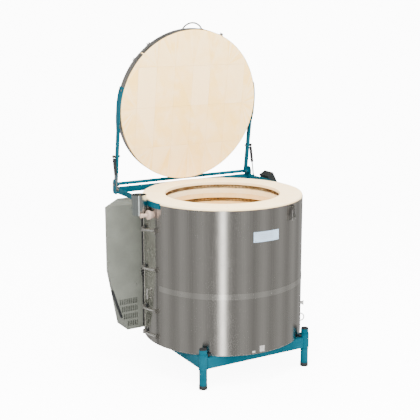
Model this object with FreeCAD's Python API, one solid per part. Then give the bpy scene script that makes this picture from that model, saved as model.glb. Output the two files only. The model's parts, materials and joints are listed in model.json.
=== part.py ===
import FreeCAD, Part
import math
import os
from FreeCAD import Vector as V

# Top-loading pottery kiln, millimetres. Origin on the floor, on the kiln's upright axis.
# +X is right and -Y is the front as the potter stands at it; the lid hinge is at the back.
# Angles round the kiln ("phi") are counted from the front, positive towards +X.
# The lid is stored open. It is drawn shut, then turned up about the hinge axis.

os.makedirs("parts", exist_ok=True)

# ---- driving dimensions -------------------------------------------------------------
JACKET_R = 440.0  # outside of the steel jacket
JACKET_T = 1.5
JACKET_Z = (174.0, 942.0)
RIM_Z = 955.0  # top of the brick rim
CHAMBER_R = 315.0
CHAMBER_FLOOR_Z = 339.75
WALL_BRICK_T = 75.5
INSULATION_R = 438.0
FLOOR_PLATE_Z = (170.0, 173.0)
FLOOR_BRICK_T = 76.5

GROOVE_PITCH = 77.5  # heating element rows
FIRST_GROOVE_DROP = 30.0
GROOVE_ROWS = 8
GROOVE_H = 24.0
GROOVE_DEPTH = 24.0
ELEMENT_R = 9.5
ELEMENT_RING_R = 326.5
TAIL_PHI = (-122.0, -132.0)  # where the elements start and turn, inside the switch box
COURSE_H = 2 * GROOVE_PITCH
BRICKS_PER_COURSE = 10
JOINT = 0.5  # mortar joint

LID_R = 432.5
LID_T = 54.0
LID_GAP = 0.3  # lid to rim when shut
LID_BRICK = (114.0, 230.0)
LID_JOINT_X = 4.0
BAND_R = 434.0
BAND_H = 50.0

HINGE_Y = 435.0
HINGE_Z = 967.0
LID_OPEN_DEG = 81.7

BEAM_H = 60.0
BEAM_W = 30.0
BEAM_Z = 110.0
BEAM_WALL = 3.0
FRONT_LEGS = ((-322.0, -348.0), (322.0, -348.0))
REAR_LEGS = ((-150.0, 498.0), (150.0, 498.0))
REAR_BEAM_Y = 270.0
SPINE_W = 40.0
LEG_R = 21.2
LEG_WALL = 2.5
LEG_TOP = 216.0
SLEEVE_R = 24.15
SLEEVE_Z = (108.0, 190.0)
FOOT_R = 22.5
FOOT_H = 22.0

MEMBER_X = (440.3, 444.3)  # hinge side bars
MEMBER_Z = (920.0, 950.0)
LUG_X = (444.4, 448.4)
HINGE_BEAM_Y = (441.0, 471.0)
HINGE_BEAM_Z = (915.0, 945.0)

ARM_X = (434.3, 439.3)
ARM_INNER_X = 426.3  # inner face of the tube that stiffens the arm behind the lid
ARM_Z = (970.5, 995.5)
CROSS_TUBE = (444.0, 1000.0, 9.5)  # y, z and radius with the lid shut

STRUT_X = 453.2
STRUT_TOP = (275.0, 983.0)  # y, z with the lid shut
STRUT_FOOT = (390.0, 943.0)
BARREL_R = 8.5
BARREL_END = 104.0
ROD_R = 4.0
EYE_HALF = 4.0

BOX_FRONT_Y = 176.0
BOX_BACK_Y = 356.0
BOX_TOP_Z = 903.0
BOX_BOTTOM_Z = 195.0
BOX_SHEET = 2.0
BOX_CORNERS = ((-621.0, 182.0), (-469.0, 356.0))  # the slanting outer wall, in plan
BOX_SLANT = ((-621.0, 553.0), (-511.0, 212.0))  # the slanting lower edge, x and z

PIPE_AXIS = (-485.0, 42.0)
PIPE_R = 40.0
PIPE_Z = (875.0, 982.0)
PORT_Y = -25.0
PORT_Z = 882.0

LATCH_PHI = 24.0
SPRING_ROWS = (786.0, 571.0, 344.0, 203.0)
SPRING_PHI = (-106.0, -83.5)
SPRING_DROP = 30.0  # the left ends sit lower than the right ones
SEAM_PHI = (-107.0, -81.5)

CONTROL_TOP = (540.0, 969.0)  # top edge of the controller's face, x and z
CONTROL_Y = (305.0, 400.0)
CONTROL_TILT = 27.0
CONTROL_L = 185.0
CONTROL_T = 45.0


# ---- helpers ------------------------------------------------------------------------
def box(x, y, z):
    """Block between two limits on each axis."""
    return Part.makeBox(x[1] - x[0], y[1] - y[0], z[1] - z[0], V(x[0], y[0], z[0]))


def pin(radius, start, end):
    """Round bar between two points."""
    start, end = V(*start), V(*end)
    return Part.makeCylinder(radius, (end - start).Length, start, end - start)


def post(radius, x, y, z):
    return Part.makeCylinder(radius, z[1] - z[0], V(x, y, z[0]))


def arc_plate(radii, z, phi):
    """Plate bent round the kiln's axis, between two radii, heights and angles."""
    r0, r1 = radii
    corners = [V(0, -r0, z[0]), V(0, -r1, z[0]), V(0, -r1, z[1]), V(0, -r0, z[1])]
    face = Part.Face(Part.makePolygon(corners + corners[:1]))
    plate = face.revolve(V(0, 0, 0), V(0, 0, 1), phi[1] - phi[0])
    return turned(plate, phi[0])


def arc_rod(ring_r, rod_r, z, phi):
    """Round bar bent round the kiln's axis."""
    circle = Part.Wire(Part.makeCircle(rod_r, V(0, -ring_r, z), V(1, 0, 0)))
    rod = Part.Face(circle).revolve(V(0, 0, 0), V(0, 0, 1), phi[1] - phi[0])
    return turned(rod, phi[0])


def ring(radii, z):
    outer = post(radii[1], 0, 0, z)
    return outer.cut(post(radii[0], 0, 0, z))


def turned(shape, phi):
    """Moves a shape drawn at the front round to an angle."""
    copy = shape.copy()
    copy.rotate(V(0, 0, 0), V(0, 0, 1), phi)
    return copy


def prism_xy(points, z):
    wire = Part.makePolygon([V(x, y, z[0]) for x, y in points + points[:1]])
    return Part.Face(wire).extrude(V(0, 0, z[1] - z[0]))


def prism_yz(points, x):
    wire = Part.makePolygon([V(x[0], y, z) for y, z in points + points[:1]])
    return Part.Face(wire).extrude(V(x[1] - x[0], 0, 0))


def prism_xz(points, y):
    wire = Part.makePolygon([V(x, y[0], z) for x, z in points + points[:1]])
    return Part.Face(wire).extrude(V(0, y[1] - y[0], 0))


def tube_box(x, y, z, wall, along):
    """Square tube, open along one axis."""
    inner = [list(x), list(y), list(z)]
    for axis, limits in enumerate(inner):
        if axis != along:
            limits[0] += wall
            limits[1] -= wall
    return box(x, y, z).cut(box(*inner))


def mirrored(shape):
    return shape.mirror(V(0, 0, 0), V(1, 0, 0))


def sided(shape, side):
    """The shape as drawn on the right (side 1), or its twin on the left (side -1)."""
    return shape if side > 0 else mirrored(shape)


def opened(shape):
    """Turns a piece of the shut lid up to its open place."""
    copy = shape.copy()
    copy.rotate(V(0, HINGE_Y, HINGE_Z), V(1, 0, 0), -LID_OPEN_DEG)
    return copy


def save(name, *shapes):
    solids = [solid for shape in shapes for solid in shape.Solids]
    result = solids[0] if len(solids) == 1 else Part.makeCompound(solids)
    result.exportStep("parts/" + name + ".step")


def split_round(shape, z, first_phi):
    """Cuts a course of wall into bricks with radial joints."""
    slots = []
    for i in range(BRICKS_PER_COURSE):
        slot = box((-JOINT / 2, JOINT / 2), (-JACKET_R, -CHAMBER_R + 5), z)
        slots.append(turned(slot, first_phi + i * 360.0 / BRICKS_PER_COURSE))
    return shape.cut(Part.makeCompound(slots))


def split_grid(disc, radius, z, offset_x):
    """Cuts a slab into bricks laid in straight rows and columns."""
    slots = []
    for k in range(-4, 5):
        x = offset_x + k * LID_BRICK[0]
        if abs(x) < radius:
            slots.append(box((x - JOINT / 2, x + JOINT / 2), (-radius, radius), z))
    for k in (-1, 0, 1):
        y = k * LID_BRICK[1]
        slots.append(box((-radius, radius), (y - JOINT / 2, y + JOINT / 2), z))
    return disc.cut(Part.makeCompound(slots))


jacket_core = post(JACKET_R + 0.2, 0, 0, (0, 1100))

# ---- base frame and legs ------------------------------------------------------------
beam_z = (BEAM_Z, BEAM_Z + BEAM_H)
leg_x = FRONT_LEGS[1][0]
front_y = FRONT_LEGS[0][1]
spine_x, rear_y = REAR_LEGS[1]
sleeve_posts = [post(SLEEVE_R + 0.1, x, y, (0, 300)) for x, y in FRONT_LEGS + REAR_LEGS]
half_w = BEAM_W / 2


def clear_of_sleeves(beam):
    return beam.cut(Part.makeCompound(sleeve_posts))


side_beam = tube_box(
    (leg_x - half_w, leg_x + half_w), (front_y, REAR_BEAM_Y + half_w), beam_z, BEAM_WALL, 1
)
side_beam = clear_of_sleeves(side_beam)
save("base_side_beams", side_beam, mirrored(side_beam))

cross_reach = leg_x - half_w
front_beam = tube_box((-leg_x, leg_x), (front_y - half_w, front_y + half_w), beam_z, BEAM_WALL, 0)
front_beam = clear_of_sleeves(front_beam).cut(Part.makeCompound(
    [box((side * leg_x - half_w, side * leg_x + half_w), (front_y, 0), beam_z) for side in (-1, 1)]
))
rear_beam = tube_box(
    (-cross_reach, cross_reach), (REAR_BEAM_Y - half_w, REAR_BEAM_Y + half_w), beam_z, BEAM_WALL, 0
)
spine = tube_box(
    (spine_x - SPINE_W / 2, spine_x + SPINE_W / 2), (REAR_BEAM_Y + half_w, rear_y), beam_z, BEAM_WALL, 1
)
spine = clear_of_sleeves(spine)
save("base_cross_beams", front_beam, rear_beam, spine, mirrored(spine))

SCREW_Z = 181.0
SCREW_R = 5.0
sleeves = []
screws = []
for (x, y) in FRONT_LEGS + REAR_LEGS:
    # the front screws face each other, the rear ones face outwards
    way = math.copysign(1, x) * (-1 if y < 0 else 1)
    sleeve = post(SLEEVE_R, x, y, SLEEVE_Z).cut(post(LEG_R + 0.4, x, y, SLEEVE_Z))
    hole = pin(SCREW_R, (x, y, SCREW_Z), (x + way * 30, y, SCREW_Z))
    sleeves.append(sleeve.cut(hole))
    shank = pin(SCREW_R - 0.05, (x + way * (LEG_R + 0.7), y, SCREW_Z), (x + way * 30, y, SCREW_Z))
    head = pin(8.0, (x + way * 30, y, SCREW_Z), (x + way * 38, y, SCREW_Z))
    screws.append(shank.fuse(head))
save("leg_sleeves", *sleeves)
save("leg_clamp_screws", *screws)

leg_names = ("front_left", "front_right", "rear_left", "rear_right")
for name, (x, y) in zip(leg_names, FRONT_LEGS + REAR_LEGS):
    bore = post(LEG_R - LEG_WALL, x, y, (0, 300))
    tube = post(LEG_R, x, y, (5.0, LEG_TOP)).cut(bore)
    cup = post(FOOT_R, x, y, (0, FOOT_H)).cut(post(LEG_R + 0.05, x, y, (5.0, FOOT_H)))
    cup = cup.makeFillet(1.5, [e for e in cup.Edges if abs(e.BoundBox.ZMax) < 0.01])
    cap = post(LEG_R - 1.2, x, y, (LEG_TOP, LEG_TOP + 5)).fuse(
        post(LEG_R - LEG_WALL - 0.05, x, y, (LEG_TOP - 14, LEG_TOP))
    )
    cap = cap.makeFillet(1.8, [e for e in cap.Edges if e.BoundBox.ZMin > LEG_TOP + 4.9])
    save("leg_tube_" + name, tube)
    save("leg_ends_" + name, cup, cap)

# ---- kiln floor ---------------------------------------------------------------------
save("floor_plate", post(JACKET_R, 0, 0, FLOOR_PLATE_Z))
floor_brick_z = (CHAMBER_FLOOR_Z - FLOOR_BRICK_T, CHAMBER_FLOOR_Z)
save("floor_insulation", post(INSULATION_R, 0, 0, (FLOOR_PLATE_Z[1], floor_brick_z[0])))
floor_slab = post(INSULATION_R, 0, 0, floor_brick_z)
save("floor_bricks", split_grid(floor_slab, INSULATION_R, floor_brick_z, 0.0))

# ---- brick wall with element grooves ------------------------------------------------
row_z = [RIM_Z - FIRST_GROOVE_DROP - i * GROOVE_PITCH for i in range(GROOVE_ROWS)]
rim_base = RIM_Z - FIRST_GROOVE_DROP - GROOVE_PITCH / 2
groove_r = (CHAMBER_R - 1, CHAMBER_R + GROOVE_DEPTH)
cuts = [ring(groove_r, (z - GROOVE_H / 2, z + GROOVE_H / 2)) for z in row_z]
for upper, lower in zip(row_z[0::2], row_z[1::2]):
    # upright notch where an element turns down to its second row
    notch = box((-7, 7), (-groove_r[1], -groove_r[0]), (lower, upper))
    cuts.append(turned(notch, TAIL_PHI[1]))
TUBE_R = 8.0
for z in row_z:
    hole = pin(TUBE_R, (0, -CHAMBER_R - 5, z), (0, -JACKET_R - 5, z))
    cuts.append(turned(hole, TAIL_PHI[0]))
COUPLE_Z = 653.75
COUPLE_PHI = -127.0
couple_hole = turned(pin(6.0, (0, -300, COUPLE_Z), (0, -450, COUPLE_Z)), COUPLE_PHI)
port_hole = pin(17.0, (-300, PORT_Y, PORT_Z), (-450, PORT_Y, PORT_Z))
wall_cuts = Part.makeCompound(cuts + [couple_hole, port_hole])

rim = ring((CHAMBER_R, INSULATION_R - 0.5), (rim_base, RIM_Z))
rim_edges = [e for e in rim.Edges if e.BoundBox.ZMin > RIM_Z - 0.1]
rim = rim.makeFillet(6.0, rim_edges)
save("rim_bricks", split_round(rim.cut(wall_cuts), (rim_base, RIM_Z), 9.0))

courses = []
top = rim_base
turn = 27.0
while top > CHAMBER_FLOOR_Z + 1:
    base = max(top - COURSE_H, CHAMBER_FLOOR_Z)
    course = ring((CHAMBER_R, CHAMBER_R + WALL_BRICK_T), (base, top)).cut(wall_cuts)
    courses.append(split_round(course, (base, top), turn))
    top = base
    turn += 18.0
save("wall_bricks", *courses)

boards = ring((CHAMBER_R + WALL_BRICK_T + 0.2, INSULATION_R), (CHAMBER_FLOOR_Z, rim_base))
board_slots = []
for i in range(12):
    slot = box((-JOINT / 2, JOINT / 2), (-JACKET_R, -380), (CHAMBER_FLOOR_Z, rim_base))
    board_slots.append(turned(slot, 15 + i * 30.0))
save("wall_insulation", boards.cut(wall_cuts).cut(Part.makeCompound(board_slots)))

# ---- heating elements, their ceramic tubes, and the thermocouple --------------------
elements = []
tubes = []
TAIL_R = 4.0
TAIL_OUT = 462.0
turn_phi = (TAIL_PHI[0], TAIL_PHI[1] + 360)
for upper, lower in zip(row_z[0::2], row_z[1::2]):
    element = arc_rod(ELEMENT_RING_R, ELEMENT_R, upper, turn_phi)
    element = element.fuse(arc_rod(ELEMENT_RING_R, ELEMENT_R, lower, turn_phi))
    riser = post(TAIL_R, 0, -ELEMENT_RING_R, (lower, upper))
    element = element.fuse(turned(riser, TAIL_PHI[1]))
    for z in (upper, lower):
        tail = pin(TAIL_R, (0, -ELEMENT_RING_R, z), (0, -TAIL_OUT, z))
        element = element.fuse(turned(tail, TAIL_PHI[0]))
        tube = pin(TUBE_R - 0.2, (0, -CHAMBER_R - GROOVE_DEPTH - 2, z), (0, -JACKET_R - 8, z))
        tube = tube.cut(pin(TAIL_R + 0.3, (0, -300, z), (0, -500, z)))
        tubes.append(turned(tube, TAIL_PHI[0]))
    elements.append(element)
save("heating_elements", *elements)
save("element_tubes", *tubes)
couple = pin(5.0, (0, -292, COUPLE_Z), (0, -452, COUPLE_Z)).fuse(
    pin(13.0, (0, -452, COUPLE_Z), (0, -476, COUPLE_Z))
)
save("thermocouple", turned(couple, COUPLE_PHI))

# ---- steel jacket -------------------------------------------------------------------
jacket = ring((JACKET_R - JACKET_T, JACKET_R), JACKET_Z)
seam = arc_plate((JACKET_R - JACKET_T / 2, JACKET_R + 1), (JACKET_Z[0] - 1, JACKET_Z[1] + 1), SEAM_PHI)
jacket = jacket.cut(seam).cut(Part.makeCompound(
    [couple_hole, port_hole] + [turned(pin(TUBE_R, (0, -400, z), (0, -450, z)), TAIL_PHI[0]) for z in row_z]
))
save("jacket", jacket)
skin_r = JACKET_R + 0.1
save("jacket_band", arc_plate((skin_r, JACKET_R + 1.0), (475, 506), (-80.0, 205.0)))
save("data_plate", arc_plate((skin_r, JACKET_R + 1.2), (772, 826), (-9.5, 10.5)))

spring_mid = sum(SPRING_PHI) / 2
spring_half = SPRING_PHI[1] - spring_mid
spring_run = 2 * math.sin(math.radians(spring_half)) * (JACKET_R + 6)
spring_slope = math.degrees(math.atan(SPRING_DROP / spring_run))
spring_brackets = []
springs = []
guides = []
for z in SPRING_ROWS:
    spring = arc_rod(JACKET_R + 6.0, 4.5, 0, (-spring_half, spring_half))
    for phi in (-spring_half, spring_half):
        spring = spring.fuse(turned(Part.makeSphere(4.5, V(0, -JACKET_R - 6.0, 0)), phi))
    spring.rotate(V(0, 0, 0), V(0, 1, 0), -spring_slope)
    spring.translate(V(0, 0, z))
    springs.append(turned(spring, spring_mid))
    for phi, side in ((SPRING_PHI[0], -1), (SPRING_PHI[1], 1)):
        end_z = (z + side * SPRING_DROP / 2 - 13, z + side * SPRING_DROP / 2 + 13)
        edge = sorted((phi + side * 1.0, phi + side * 3.2))
        foot = arc_plate((skin_r, JACKET_R + 2.2), end_z, edge)
        lip_phi = sorted((phi + side * 0.75, phi + side * 1.05))
        lip = arc_plate((skin_r, JACKET_R + 13), end_z, lip_phi)
        spring_brackets.append(foot.fuse(lip))
    wedge = prism_xz([(-7, z + 3), (7, z + 3), (0, z + 28)], (-JACKET_R - 7, -JACKET_R - 2.2))
    leg = arc_plate((skin_r, JACKET_R + 4.0), (z + 4, z + 20), (-0.3, 0.3))
    guides.append(turned(wedge.fuse(leg), -99.0))
save("seam_spring_brackets", *spring_brackets)
save("seam_springs", *springs)
save("seam_spring_guides", *guides)

# ---- small steel fittings on the jacket ---------------------------------------------
BAR_HANDLE_PHI = -94.0
HOOK_PHI = 54.0
STUD_Z = 334.0
LOOP_Z = 251.0
LOOP_R = 21.0
bar = pin(4.5, (0, -JACKET_R - 13, 405), (0, -JACKET_R - 13, 465))
for z in (411, 459):
    bar = bar.fuse(pin(3.5, (0, -JACKET_R, z), (0, -JACKET_R - 13, z)))
bar = turned(bar, BAR_HANDLE_PHI).cut(jacket_core)
stud = pin(9.0, (0, -JACKET_R, STUD_Z), (0, -JACKET_R - 14, STUD_Z)).fuse(
    pin(13.0, (0, -JACKET_R - 10, STUD_Z), (0, -JACKET_R - 16, STUD_Z))
)
stud = turned(stud, HOOK_PHI).cut(jacket_core)
loop_face = Part.Face(Part.Wire(Part.makeCircle(3.0, V(0, -JACKET_R + 2, LOOP_Z + LOOP_R), V(0, 1, 0))))
loop = loop_face.revolve(V(0, -JACKET_R + 2, LOOP_Z), V(1, 0, 0), 180)
loop = turned(loop, HOOK_PHI).cut(jacket_core)
save("jacket_fittings", bar, stud, loop)

# ---- lid latch on the jacket --------------------------------------------------------
LEVER_PIVOT = (-449.0, 928.0)  # y, z at the front
LEVER_TILT = 13.0
LEVER_L = 54.0
LEVER_HALF = 8.0
BAIL_DROP = 16.0
BAIL_L = 56.0
BAIL_OUT = 5.0
BAIL_HALF = 14.0
CATCH_Z = 965.0  # on the shut lid
latch_base = arc_plate((skin_r, JACKET_R + 2.2), (858, 937), (-3.0, 3.0))
ear = pin(6.5, (8.6, *LEVER_PIVOT), (10.8, *LEVER_PIVOT)).fuse(
    box((8.6, 10.8), (LEVER_PIVOT[0], -JACKET_R - 1.5), (LEVER_PIVOT[1] - 6.5, LEVER_PIVOT[1] + 6.5))
)
pivot_pin = pin(2.5, (-10.8, *LEVER_PIVOT), (10.8, *LEVER_PIVOT))
latch_base = latch_base.fuse(ear).fuse(mirrored(ear)).fuse(pivot_pin)
save("latch_base", turned(latch_base, LATCH_PHI))

pivot_y, pivot_z = LEVER_PIVOT
bail_y = pivot_y - BAIL_OUT
bail_z = pivot_z - BAIL_DROP
width = (-LEVER_HALF, LEVER_HALF)
lever = box(width, (pivot_y - 3.0, pivot_y + 1.0), (pivot_z - LEVER_L, pivot_z - 2))
lever = lever.fuse(pin(4.6, (-LEVER_HALF, *LEVER_PIVOT), (LEVER_HALF, *LEVER_PIVOT)))
lever = lever.fuse(pin(3.8, (-LEVER_HALF, bail_y, bail_z), (LEVER_HALF, bail_y, bail_z)))
lever = lever.fuse(box(width, (bail_y, pivot_y), (bail_z - 2.5, bail_z + 2.5)))
tip_y, tip_z = pivot_y - 2.4, pivot_z - LEVER_L
lever = lever.fuse(pin(2.6, (-LEVER_HALF, tip_y, tip_z), (LEVER_HALF, tip_y, tip_z)))
lever = lever.cut(pin(2.57, (-20, *LEVER_PIVOT), (20, *LEVER_PIVOT)))
lever = lever.cut(pin(2.07, (-20, bail_y, bail_z), (20, bail_y, bail_z)))


def tilted(shape):
    copy = shape.copy()
    copy.rotate(V(0, *LEVER_PIVOT), V(1, 0, 0), -LEVER_TILT)
    return copy


save("latch_lever", turned(tilted(lever), LATCH_PHI))

# wire bail: a closed loop that hangs straight down from its bore in the lever
hang = tilted(Part.Vertex(0, bail_y, bail_z)).Point
bail = pin(2.0, (-BAIL_HALF, hang.y, hang.z), (BAIL_HALF, hang.y, hang.z))
bail = bail.fuse(pin(2.0, (-BAIL_HALF, hang.y, hang.z - BAIL_L), (BAIL_HALF, hang.y, hang.z - BAIL_L)))
for x in (-BAIL_HALF, BAIL_HALF):
    bail = bail.fuse(pin(2.0, (x, hang.y, hang.z - BAIL_L), (x, hang.y, hang.z)))
    for z in (hang.z, hang.z - BAIL_L):
        bail = bail.fuse(Part.makeSphere(2.0, V(x, hang.y, z)))
save("latch_bail", turned(bail, LATCH_PHI))

# ---- vent: ceramic port, plug, and exhaust pipe -------------------------------------
port = pin(16.8, (-CHAMBER_R - 3, PORT_Y, PORT_Z), (-JACKET_R - 0.5, PORT_Y, PORT_Z))
save("vent_port", port.cut(pin(13.0, (-300, PORT_Y, PORT_Z), (-460, PORT_Y, PORT_Z))))
PLUG_PROFILE = ((12.4, -395, -446), (24.0, -459, -472), (9.0, -472, -496), (12.0, -496, -511))
plug = Part.makeCone(16.0, 24.0, 16.0, V(-443, PORT_Y, PORT_Z), V(-1, 0, 0))
for radius, x_in, x_out in PLUG_PROFILE:
    plug = plug.fuse(pin(radius, (x_in, PORT_Y, PORT_Z), (x_out, PORT_Y, PORT_Z)))
plug_rims = [e for e in plug.Edges if e.BoundBox.XMax < -471 and e.BoundBox.YLength > 23]
plug = plug.makeFillet(2.0, plug_rims)
save("vent_plug", plug)

pipe = post(PIPE_R, *PIPE_AXIS, PIPE_Z).cut(post(PIPE_R - 1.2, *PIPE_AXIS, PIPE_Z))
clip_z = (896, 912)
clip = post(PIPE_R + 2.2, *PIPE_AXIS, clip_z).cut(post(PIPE_R + 0.1, *PIPE_AXIS, clip_z))
tongue = box((-447, -425), (32, 52), clip_z).cut(post(PIPE_R + 0.1, *PIPE_AXIS, clip_z))
save("vent_pipe", pipe, clip.fuse(tongue).cut(jacket_core))

# ---- switch box ---------------------------------------------------------------------
def box_body(inset, front, z):
    """Five-sided housing in plan, with its outer lower corner cut off on a slant."""
    (ax, ay), (bx, by) = BOX_CORNERS
    plan = [
        (-300, front), (ax + inset, front), (ax + inset, ay),
        (bx + inset * 0.3, by - inset), (-200, by - inset),
    ]
    body = prism_xy(plan, z)
    (sx, sz), (ex, ez) = BOX_SLANT
    run, drop = ex - sx, sz - ez
    length = math.hypot(run, drop)
    shift = inset * length / drop
    reach = 1.3
    cutter = [
        (sx + shift - run * 0.2, sz + drop * 0.2),
        (sx + shift + run * reach, sz - drop * reach),
        (sx - 200, sz - drop * reach),
        (sx - 200, sz + drop * 0.2),
    ]
    return body.cut(prism_xz(cutter, (front - 5, by + 5)))


outer = box_body(0.0, BOX_FRONT_Y, (BOX_BOTTOM_Z, BOX_TOP_Z))
inner = box_body(BOX_SHEET, BOX_FRONT_Y - 1, (BOX_BOTTOM_Z + BOX_SHEET, BOX_TOP_Z - BOX_SHEET))
cover_cut = box((-700, 0), (BOX_FRONT_Y - 10, BOX_FRONT_Y + BOX_SHEET), (0, 1000))
GLAND_AT = (-455.0, 250.0)
shell = outer.cut(inner).cut(cover_cut).cut(jacket_core).cut(post(11.0, *GLAND_AT, (0, 300)))
save("switch_box_shell", shell)

cover = outer.common(cover_cut).cut(jacket_core)
SLOT_W, SLOT_H, SLOT_PITCH, SLOT_FIRST_X = 5.0, 32.0, 11.0, -443.0
slot_rows = ((359.0, 10), (316.0, 9), (273.0, 8), (231.0, 6))
slots = []
for z, count in slot_rows:
    for i in range(count):
        x = SLOT_FIRST_X - i * SLOT_PITCH
        slot_z = (z - SLOT_H / 2, z + SLOT_H / 2)
        slots.append(box((x - SLOT_W, x), (BOX_FRONT_Y - 5, BOX_FRONT_Y + 5), slot_z))
save("switch_box_cover", cover.cut(Part.makeCompound(slots)))

slant_angle = math.degrees(math.atan2(BOX_SLANT[1][0] - BOX_SLANT[0][0], BOX_SLANT[0][1] - BOX_SLANT[1][1]))
plate = box((-9.0, -0.2), (BOX_FRONT_Y + 7, BOX_FRONT_Y + 27), (-300, -130))
plate.rotate(V(0, 0, 0), V(0, 1, 0), -slant_angle)
plate.translate(V(BOX_SLANT[0][0], 0, BOX_SLANT[0][1]))
save("switch_box_side_plate", plate)

gland = post(15.0, *GLAND_AT, (BOX_BOTTOM_Z - 6, BOX_BOTTOM_Z))
gland = gland.fuse(post(12.0, *GLAND_AT, (BOX_BOTTOM_Z - 18, BOX_BOTTOM_Z)))
gland = gland.fuse(post(10.9, *GLAND_AT, (BOX_BOTTOM_Z, BOX_BOTTOM_Z + 12)))
save("mains_gland", gland.cut(post(7.0, *GLAND_AT, (0, 300))))

contactors = []
for i in range(3):
    x = -452.0 + i * 55.0
    body = box((x, x + 45), (BOX_BACK_Y - BOX_SHEET - 50, BOX_BACK_Y - BOX_SHEET), (550, 630))
    cap_block = box((x + 5, x + 40), (BOX_BACK_Y - BOX_SHEET - 60, BOX_BACK_Y - BOX_SHEET - 50), (562, 618))
    contactors.append(body.fuse(cap_block))
save("contactors", *[c.cut(post(JACKET_R + 12, 0, 0, (0, 1100))) for c in contactors])

# ---- fixed hinge frame --------------------------------------------------------------
hinge_beam = tube_box((-440.2, 440.2), HINGE_BEAM_Y, HINGE_BEAM_Z, 2.5, 0)
POST_X = (130.0, 170.0)
hinge_post = tube_box(POST_X, HINGE_BEAM_Y, (BEAM_Z + BEAM_H, HINGE_BEAM_Z[0]), 2.5, 2)
save("hinge_frame", hinge_beam, hinge_post, mirrored(hinge_post))

LUG_R = 28.0
PIVOT_R = 6.0
member = box(MEMBER_X, (0, HINGE_BEAM_Y[1]), MEMBER_Z)
member = member.fuse(arc_plate(MEMBER_X, MEMBER_Z, (78.0, 90.0)))
lug = pin(LUG_R, (LUG_X[0] - 0.1, HINGE_Y, 970), (LUG_X[1], HINGE_Y, 970))
lug = lug.fuse(box((LUG_X[0] - 0.1, LUG_X[1]), (HINGE_Y - LUG_R, HINGE_Y + LUG_R), (912, 970)))
lug = lug.makeFillet(14.0, [e for e in lug.Edges if e.BoundBox.ZMax < 913 and e.BoundBox.XLength > 3])
lug = lug.cut(pin(PIVOT_R, (400, HINGE_Y, HINGE_Z), (480, HINGE_Y, HINGE_Z)))
hinge_side = member.fuse(lug)
pivot_steps = ((9.0, 422.0, 425.7), (PIVOT_R - 0.05, 425.7, 448.6), (9.0, 439.6, 444.3), (10.0, 448.6, 454.0))
pivot = None
for radius, x_in, x_out in pivot_steps:
    step = pin(radius, (x_in, HINGE_Y, HINGE_Z), (x_out, HINGE_Y, HINGE_Z))
    pivot = step if pivot is None else pivot.fuse(step)
strut_stud = pin(8.0, (MEMBER_X[1], *STRUT_FOOT), (MEMBER_X[1] + 1.7, *STRUT_FOOT)).fuse(
    pin(4.5, (MEMBER_X[1], *STRUT_FOOT), (STRUT_X - EYE_HALF - 0.5, *STRUT_FOOT))
)
save("hinge_side_right", hinge_side)
save("hinge_side_left", mirrored(hinge_side))
save("hinge_pins", pivot, mirrored(pivot), strut_stud, mirrored(strut_stud))

# ---- lid ----------------------------------------------------------------------------
lid_z = (RIM_Z + LID_GAP, RIM_Z + LID_GAP + LID_T)
mid_z = (lid_z[0] + lid_z[1]) / 2
band_z = (mid_z - BAND_H / 2, mid_z + BAND_H / 2)
slab = post(LID_R, 0, 0, lid_z)
slab = slab.makeFillet(3.0, [e for e in slab.Edges if e.BoundBox.ZMax < lid_z[0] + 1])
save("lid_bricks", opened(split_grid(slab, LID_R, lid_z, LID_JOINT_X)))

CLAMP_PHI = (-52.0, -38.0)
RIVET_PHI = 76.5
RIVETS_Z = (mid_z - 14, mid_z + 14)
rivet_holes = [
    turned(pin(3.0, (0, -430, z), (0, -450, z)), side * RIVET_PHI) for side in (-1, 1) for z in RIVETS_Z
]
band = ring((LID_R + 0.2, BAND_R), band_z)
band = band.cut(arc_plate((420, 440), band_z, (-46, -45))).cut(Part.makeCompound(rivet_holes))
save("lid_band", opened(band))

clamp_lugs = []
for phi in CLAMP_PHI:
    clamp_lug = box((-2, 2), (-BAND_R - 16, -BAND_R - 0.2), (mid_z - 14, mid_z + 14))
    clamp_pad = arc_plate((BAND_R + 0.1, BAND_R + 2), (mid_z - 18, mid_z + 18), (-1.6, 1.6))
    clamp_lug = clamp_lug.fuse(clamp_pad)
    clamp_lugs.append(turned(clamp_lug, phi))
clamp_mid = sum(CLAMP_PHI) / 2
half_gap = math.radians(CLAMP_PHI[1] - clamp_mid)
bolt_r = (BAND_R + 10) * math.cos(half_gap)
bolt_x = (BAND_R + 10) * math.sin(half_gap) + 14
clamp_bolt = pin(3.5, (-bolt_x, -bolt_r, mid_z), (bolt_x, -bolt_r, mid_z))
clamp_bolt = clamp_bolt.fuse(pin(6.5, (bolt_x - 6, -bolt_r, mid_z), (bolt_x, -bolt_r, mid_z)))
clamp_bolt = clamp_bolt.fuse(pin(6.5, (-bolt_x, -bolt_r, mid_z), (-bolt_x + 6, -bolt_r, mid_z)))
lid_core = post(BAND_R + 0.1, 0, 0, lid_z)
clamp = turned(clamp_bolt, clamp_mid).cut(lid_core)
for clamp_lug in clamp_lugs:
    clamp = clamp.fuse(clamp_lug)

# hook on the band that the latch's wire bail closes over
catch = arc_plate((BAND_R + 0.1, BAND_R + 2), (CATCH_Z - 6, CATCH_Z + 16), (-1.7, 1.7))
catch = catch.fuse(box((-9, 9), (-BAND_R - 11, -BAND_R - 1), (CATCH_Z - 2, CATCH_Z + 2)))
catch = catch.fuse(box((-9, 9), (-BAND_R - 13, -BAND_R - 10), (CATCH_Z - 2, CATCH_Z + 8)))
save("lid_band_fittings", opened(clamp), opened(turned(catch, LATCH_PHI)))

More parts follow.
